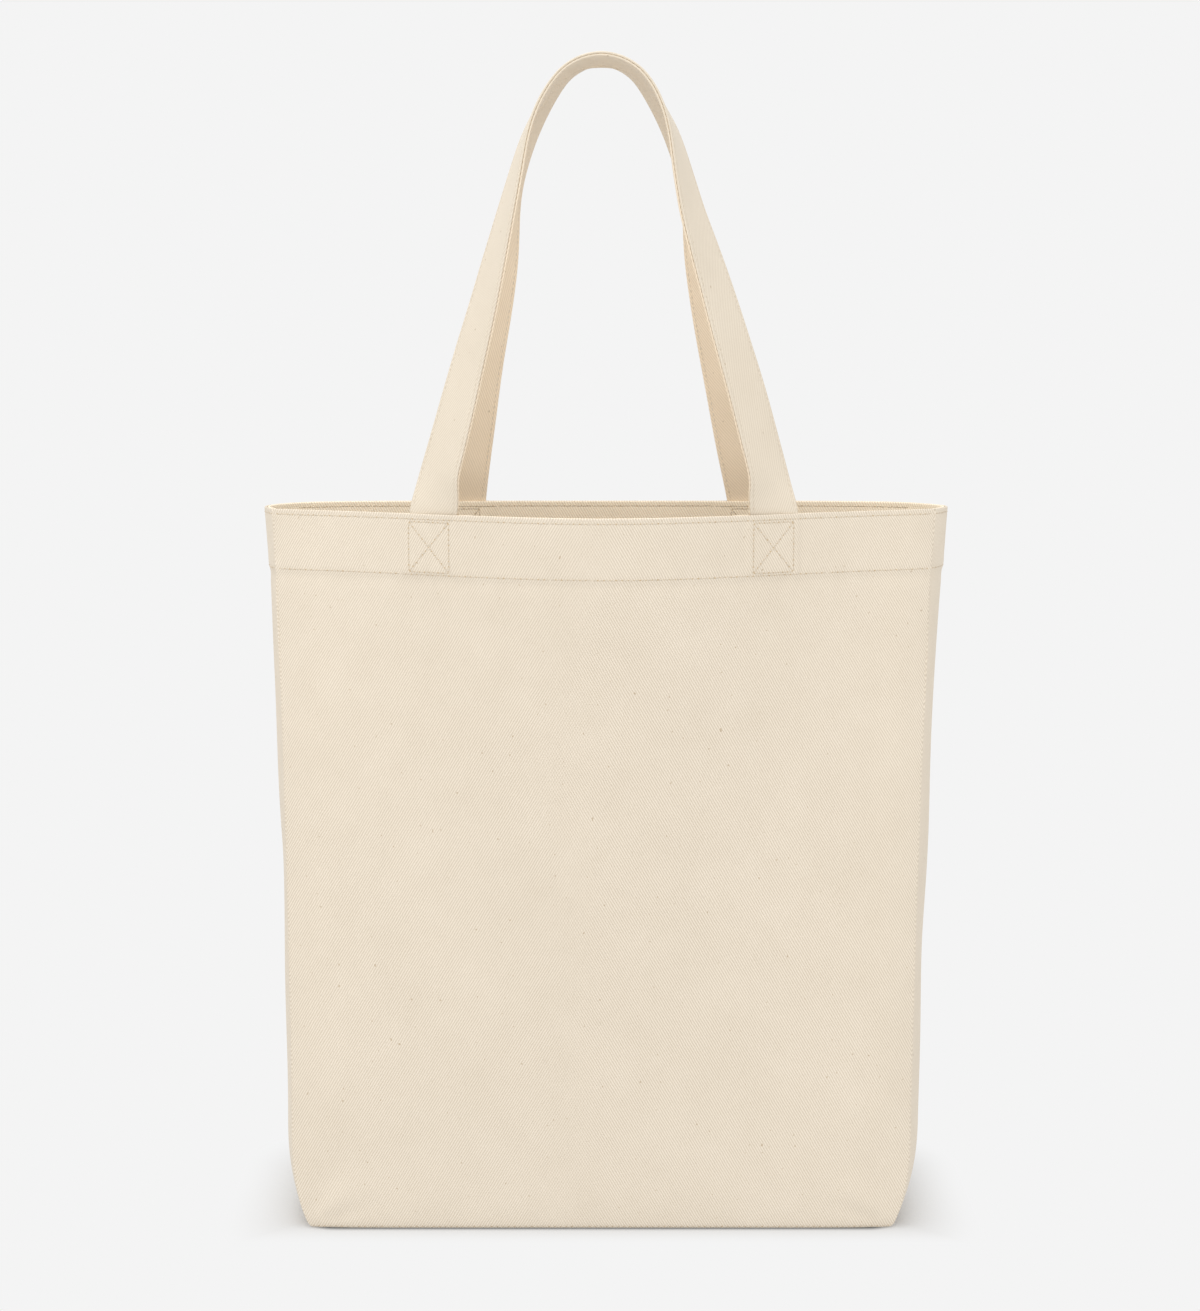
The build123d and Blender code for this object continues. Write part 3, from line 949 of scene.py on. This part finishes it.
class Nodes:
    """Short calls for building a node tree."""

    def __init__(self, name):
        self.material = bpy.data.materials.new(name)
        self.material.use_nodes = True
        self.tree = self.material.node_tree
        self.shader = self.tree.nodes["Principled BSDF"]

    def add(self, kind, **values):
        node = self.tree.nodes.new(kind)
        for key, value in values.items():
            setattr(node, key, value)
        return node

    def link(self, value, socket):
        if isinstance(value, bpy.types.NodeSocket):
            self.tree.links.new(value, socket)
        else:
            socket.default_value = value

    def math(self, operation, a, b=0.0, c=0.0):
        node = self.add("ShaderNodeMath", operation=operation)
        for i, value in enumerate((a, b, c)):
            self.link(value, node.inputs[i])
        return node.outputs[0]

    def noise(self, vector, scale, detail=2.0, roughness=0.5):
        node = self.add("ShaderNodeTexNoise")
        self.link(vector, node.inputs["Vector"])
        node.inputs["Scale"].default_value = scale
        node.inputs["Detail"].default_value = detail
        node.inputs["Roughness"].default_value = roughness
        return node.outputs["Fac"]

    def stretched(self, vector, x, y, shift=0.0):
        node = self.add("ShaderNodeMapping")
        self.link(vector, node.inputs["Vector"])
        node.inputs["Scale"].default_value = (x, y, 1.0)
        node.inputs["Location"].default_value = (shift, shift, 0.0)
        return node.outputs[0]

    def blend(self, share, a, b):
        node = self.add("ShaderNodeMix", data_type="RGBA")
        self.link(share, node.inputs["Factor"])
        self.link(a, node.inputs["A"])
        self.link(b, node.inputs["B"])
        return node.outputs["Result"]

    def between(self, value, low, high):
        node = self.add("ShaderNodeMapRange", interpolation_type="SMOOTHSTEP")
        self.link(value, node.inputs["Value"])
        node.inputs["From Min"].default_value = low
        node.inputs["From Max"].default_value = high
        return node.outputs["Result"]


    def split(self, vector):
        """The x and y of a vector."""
        node = self.add("ShaderNodeSeparateXYZ")
        self.link(vector, node.inputs[0])
        return node.outputs[0], node.outputs[1]

    def joined(self, x, y, z):
        node = self.add("ShaderNodeCombineXYZ")
        for i, value in enumerate((x, y, z)):
            self.link(value, node.inputs[i])
        return node.outputs[0]

    def bump(self, height, strength, distance):
        node = self.add("ShaderNodeBump")
        node.inputs["Strength"].default_value = strength
        node.inputs["Distance"].default_value = distance
        self.link(height, node.inputs["Height"])
        self.link(node.outputs[0], self.shader.inputs["Normal"])


def cotton(shader):
    shader.inputs["Roughness"].default_value = 0.92
    shader.inputs["Specular IOR Level"].default_value = 0.15
    shader.inputs["Sheen Weight"].default_value = 0.12
    shader.inputs["Sheen Roughness"].default_value = 0.5


RIB_ACROSS = 1.60 * MM            # from one twill line to the next, along the weft
RIB_UP = 2.75 * MM                # and along the warp
RIB_SHADE = 0.125


def twill_ribs(n, weave, x, y, both_ways):
    """Slanting ribs, from -1 to 1. With both_ways the slant changes a little left of the middle."""
    uneven = n.math("MULTIPLY_ADD", n.noise(weave, 160.0, 1.0), 0.4 * RIB_ACROSS, x)
    across_rib = n.math("MULTIPLY", uneven, math.tau / RIB_ACROSS)
    up = n.math("MULTIPLY", y, math.tau / RIB_UP)
    rib_up = n.math("SINE", n.math("SUBTRACT", across_rib, up))
    if not both_ways:
        return rib_up
    rib_down = n.math("SINE", n.math("ADD", across_rib, up))
    wander = n.math("MULTIPLY", n.math("SUBTRACT", n.noise(weave, 14.0), 0.5), 0.09)
    side = n.between(n.math("ADD", x, wander), -0.045, 0.002)
    change = n.math("MULTIPLY", n.math("SUBTRACT", rib_down, rib_up), side)
    return n.math("ADD", rib_up, change)


def cloth_shade(n, weave, rib, warp, weft, relief):
    """One number for all the light and dark of the cloth, about 0 on average."""
    grain = n.noise(weave, 900.0, 2.0, 0.7)
    blotch = n.noise(weave, 16.0, 4.0, 0.6)
    patch = n.noise(n.stretched(weave, 60.0, 45.0, 3.0), 1.0, 2.0)
    shade = n.math("MULTIPLY", rib, RIB_SHADE * relief)
    yarns = ((warp, 0.07 * relief), (weft, 0.05 * relief), (grain, 0.10 * relief))
    for source, share in (*yarns, (blotch, 0.09), (patch, 0.05)):
        shade = n.math("ADD", shade, n.math("MULTIPLY", n.math("SUBTRACT", source, 0.5), share))
    return shade


def flecked(n, weave, cloth, colour):
    """The cloth's colour with small brown flecks of seed in it."""
    speck = n.between(n.noise(n.stretched(weave, 420.0, 300.0, 11.0), 1.0, 1.0), 0.745, 0.79)
    fleck = (colour[0] * 0.55, colour[1] * 0.45, colour[2] * 0.32, 1.0)
    return n.blend(n.math("MULTIPLY", speck, 0.55), cloth, fleck)


def canvas_material(name, colour, both_ways=False, relief=1.0, inside=None, held_at=0.0):
    """Unbleached cotton twill: slanting ribs, uneven yarns, flecks and faint blotches.

    A strap gets painted warm light, the colour inside, on its inner side, and is worn smooth where it
    is held, where less of that painted light is put.
    """
    n = Nodes(name)
    weave = n.add("ShaderNodeUVMap", uv_map="weave").outputs[0]
    x, y = n.split(weave)
    rib = twill_ribs(n, weave, x, y, both_ways)
    warp = n.noise(n.stretched(weave, 1500.0, 130.0), 1.0, 2.0)
    weft = n.noise(n.stretched(weave, 130.0, 1500.0, 7.0), 1.0, 2.0)
    height = n.math("MULTIPLY", rib, 0.5)
    for yarn in (warp, weft):
        height = n.math("ADD", height, n.math("MULTIPLY", yarn, 0.9))
    shade = cloth_shade(n, weave, rib, warp, weft, relief)
    plain = (*colour, 1.0)
    if inside:
        away = n.math("ABSOLUTE", n.math("SUBTRACT", y, held_at))
        rough = n.between(away, 0.03, 0.15)
        shade = n.math("MULTIPLY", shade, n.math("MULTIPLY_ADD", rough, 0.85, 0.15))
        height = n.math("MULTIPLY", height, rough)
        # painted warm light on the inner side, faded to a quarter where the strap is held
        share = n.add("ShaderNodeAttribute", attribute_name="mark").outputs["Fac"]
        share = n.math("MULTIPLY", share, n.math("MULTIPLY_ADD", rough, 0.75, 0.25))
        plain = n.blend(share, plain, (*inside, 1.0))
    # dark places are browner, so blue changes most
    level = n.joined(*(n.math("MULTIPLY_ADD", shade, gain, 1.0) for gain in (1.0, 1.12, 1.35)))
    light = n.add("ShaderNodeMix", data_type="RGBA", blend_type="MULTIPLY")
    light.inputs["Factor"].default_value = 1.0
    n.link(plain, light.inputs["A"])
    n.link(level, light.inputs["B"])
    cloth = flecked(n, weave, light.outputs["Result"], colour)
    n.link(cloth, n.shader.inputs["Base Color"])
    n.bump(height, 0.40 * relief, 0.12 * MM)
    cotton(n.shader)
    return n.material


def thread_material(name, colour, hole_shade_colour):
    """Twisted cotton, with painted shade where a stitch goes down into its needle hole."""
    n = Nodes(name)
    weave = n.add("ShaderNodeUVMap", uv_map="weave").outputs[0]
    slant = n.math("ADD", *n.split(weave))
    twist = n.math("SINE", n.math("MULTIPLY", slant, math.tau / (0.5 * MM)))
    hole = n.add("ShaderNodeAttribute", attribute_name="mark").outputs["Fac"]
    dark = tuple(c * 0.86 for c in colour)
    body = n.blend(n.math("MULTIPLY_ADD", twist, 0.5, 0.5), (*colour, 1.0), (*dark, 1.0))
    shown = n.blend(n.between(hole, 0.15, 0.75), body, (*hole_shade_colour, 1.0))
    n.link(shown, n.shader.inputs["Base Color"])
    n.bump(twist, 0.5, 0.08 * MM)
    cotton(n.shader)
    return n.material


# ---------------------------------------------------------------- stage

BACKGROUND = 0.905
# darker than the background: the matt floor round the bag is painted with shadow, on top of the real
# shadows the lamps cast there
NEAR_FLOOR_SHADOW_GREY = 0.68
CAMERA_PLACE = (-0.0006, -1.3, 0.531)
CAMERA_TILT = math.radians(81.34)  # from straight down
CAMERA_LENS = 61.10


def add_world():
    world = bpy.data.worlds.new("studio")
    world.use_nodes = True
    shade = world.node_tree.nodes["Background"]
    shade.inputs["Color"].default_value = (BACKGROUND, BACKGROUND, BACKGROUND, 1.0)
    shade.inputs["Strength"].default_value = 1.0
    bpy.context.scene.world = world


FOOT = (0.157, 0.042)             # half sizes of the bag's footprint inside its rounded corners
FOOT_CORNER = 0.011


def footprint_distance(n, x, y):
    """Distance from the bag's footprint, a rectangle with rounded corners."""
    beyond = []
    for place, half in zip((x, y), FOOT):
        distance = n.math("SUBTRACT", n.math("ABSOLUTE", place), half)
        beyond.append(n.math("POWER", n.math("MAXIMUM", distance, 0.0), 2.0))
    return n.math("SUBTRACT", n.math("SQRT", n.math("ADD", *beyond)), FOOT_CORNER)


def floor_material():
    """Pale and matt round the bag, in a darker grey there that paints a shadow over the lamps' real
    ones, turning into the plain background further off.
    """
    n = Nodes("pale_floor")
    n.shader.inputs["Roughness"].default_value = 1.0
    n.shader.inputs["Specular IOR Level"].default_value = 0.0
    x, y = n.split(n.add("ShaderNodeTexCoord").outputs["Object"])
    distance = footprint_distance(n, x, y)
    # painted contact shadow: the floor's grey and its glow are darkest right where the cloth touches
    # it
    painted_contact_shadow = n.math("MULTIPLY_ADD", n.between(distance, -0.001, 0.006), 0.72, 0.28)
    # the painted shadow ends sooner in front of the bag than at its sides
    before = n.between(n.math("MULTIPLY", y, -1.0), 0.040, 0.078)
    far = n.math("MAXIMUM", n.between(distance, 0.0, 0.058), before)
    near_grey, far_grey = (n.math("MULTIPLY", painted_contact_shadow, level) for level in (NEAR_FLOOR_SHADOW_GREY, BACKGROUND))
    n.link(n.joined(near_grey, near_grey, near_grey), n.shader.inputs["Base Color"])
    glow = n.add("ShaderNodeEmission")
    n.link(n.joined(far_grey, far_grey, far_grey), glow.inputs["Color"])
    both = n.add("ShaderNodeMixShader")
    n.link(far, both.inputs[0])
    n.link(n.shader.outputs[0], both.inputs[1])
    n.link(glow.outputs[0], both.inputs[2])
    n.link(both.outputs[0], n.tree.nodes["Material Output"].inputs["Surface"])
    return n.material


def add_floor():
    """A large round floor."""
    turn = np.linspace(0.0, math.tau, 96, endpoint=False)
    rings = [0.2, 0.6, 2.0, 8.0]
    verts = np.concatenate([points_of(r * np.cos(turn), r * np.sin(turn), 0.0) for r in rings])
    verts[:, 2] = -0.05 * MM
    index = np.arange(len(verts)).reshape(len(rings), -1)
    closed = np.concatenate([index, index[:, :1]], axis=1)
    faces = [quads(closed), index[:1]]
    obj = new_object("studio_floor", verts, faces, verts[:, :2], floor_material())


def add_light(name, place, aim, size, power, colour=(1.0, 1.0, 1.0)):
    data = bpy.data.lights.new(name, "AREA")
    data.shape = "RECTANGLE"
    data.size, data.size_y = size
    data.energy = power
    data.color = colour
    lamp = bpy.data.objects.new(name, data)
    lamp.location = place
    direction = np.array(aim) - np.array(place)
    lamp.rotation_mode = "QUATERNION"
    lamp.rotation_quaternion = Vector(direction).to_track_quat("-Z", "Y")
    bpy.context.scene.collection.objects.link(lamp)


def add_lights():
    add_light("overhead", (-0.35, -0.15, 2.0), (0.0, 0.0, 0.3), (1.4, 1.4), 11.0)
    add_light("front_top", (0.0, -1.5, 1.9), (0.0, 0.0, 0.35), (1.4, 1.0), 6.2)
    add_light("front_left", (-1.3, -1.9, 1.3), (0.0, 0.0, 0.35), (1.4, 1.4), 0.7, (1.0, 0.985, 0.96))
    add_light("front_low", (0.0, -1.8, 0.12), (0.0, 0.0, 0.3), (2.0, 0.3), 3.3)


def add_camera():
    data = bpy.data.cameras.new("camera")
    data.sensor_width = 36.0
    data.lens = CAMERA_LENS
    camera = bpy.data.objects.new("camera", data)
    camera.location = CAMERA_PLACE
    camera.rotation_euler = (CAMERA_TILT, 0.0, 0.0)
    bpy.context.scene.collection.objects.link(camera)
    bpy.context.scene.camera = camera


# ---------------------------------------------------------------- the bag

BODY_COLOUR = (0.738, 0.650, 0.530)
# painted light: the facing is much brighter than the body's canvas, standing in for the light that
# reaches inside the mouth
FACING_PAINTED_LIGHT_COLOUR = (0.970, 0.856, 0.685)
STRAP_COLOUR = (0.726, 0.641, 0.521)
# painted light: the straps' inner sides are brighter and warmer, standing in for warm light bounced
# off the bag
STRAP_INSIDE_PAINTED_LIGHT = (0.885, 0.745, 0.570)
THREAD_COLOUR = (0.760, 0.670, 0.540)
# painted shade: needle holes, stitch ends and stitches seen deep between the lips of a strap's edge
# are coloured this brown
HOLE_SHADE_COLOUR = (0.575, 0.445, 0.290)


def place(obj, body, slot, *nodes):
    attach(obj, body)
    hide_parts(*nodes)
    return obj


def build_body(cloth, side_cloth, facing_cloth):
    pieces = {}
    for side in WALLS:
        wide = side in HANDLES
        panel = f"{side}_panel" if wide else f"{side}_gusset"
        facing = f"{side}_facing"
        places = face_places() if wide else gusset_places()
        wall = wall_object(f"{panel}_cloth", side, places, cloth if wide else side_cloth)
        pieces[panel] = place(wall, "bag", "body_canvas", panel)
        lining = facing_object(side, places, facing_cloth)
        pieces[facing] = place(lining, "bag", "facing_canvas", facing)
    pieces["base_panel"] = place(base_object(side_cloth), "bag", "body_canvas", "base_panel")
    return pieces


def build_thread(thread):
    rows = (
        ("rim_stitching", RIM_ROW, True),
        ("hem_stitching", HEM_ROW, True),
        ("base_stitching", BASE_ROW, False),
    )
    groups = {node: sewn(ring_runs(z, inside)) for node, z, inside in rows}
    for name in HANDLES:
        for side_name, side in (("left", -1), ("right", 1)):
            corner = f"{name}_{side_name}_corner_stitching"
            groups[corner] = [(stitch_run, STITCH_SIDES, corner_run(side, name))]
            cross = f"{name}_{side_name}_cross_stitching"
            groups[cross] = sewn(cross_runs(name, of_side(HANDLES[name]["boxes"], side)))
    for node, group in groups.items():
        place(thread_object(f"{node}_thread", group, thread), "bag", "thread", node)


def bend(obj, name):
    """Bakes a strap's or its thread's placement into its mesh."""
    y = root_y(name, HANDLES[name]["legs"][1], HEIGHT)
    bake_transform(obj)


def build_handle(name, strap_cloth, thread):
    frames = strap_frames(name)
    strap = strap_object(name, frames, strap_cloth)
    bend(strap, name)
    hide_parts(f"{name}_handle", f"{name}_handle_left_end", f"{name}_handle_right_end")
    for edge_name, edge in (("inner", 1), ("outer", -1)):
        node = f"{name}_handle_{edge_name}_stitching"
        row = thread_object(f"{node}_thread", edge_runs(frames, edge), thread)
        bend(row, name)
        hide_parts(node)
    return strap


def main():
    cloth = canvas_material("canvas_twill", BODY_COLOUR, both_ways=True)
    side_cloth = canvas_material("canvas_twill_side", BODY_COLOUR)
    facing_cloth = canvas_material("facing_twill", FACING_PAINTED_LIGHT_COLOUR)
    half_strap = float(lengths_along(strap_frames("front")[0])[-1]) / 2.0
    strap_cloth = canvas_material(
        "strap_twill", STRAP_COLOUR, relief=0.6, inside=STRAP_INSIDE_PAINTED_LIGHT, held_at=half_strap)
    thread = thread_material("cotton_thread", THREAD_COLOUR, HOLE_SHADE_COLOUR)
    pieces = build_body(cloth, side_cloth, facing_cloth)
    build_thread(thread)
    for name in HANDLES:
        pieces[f"{name}_handle"] = build_handle(name, strap_cloth, thread)
    add_floor()
    add_world()
    add_lights()
    add_camera()
    bpy.context.scene.view_settings.view_transform = "Standard"


main()
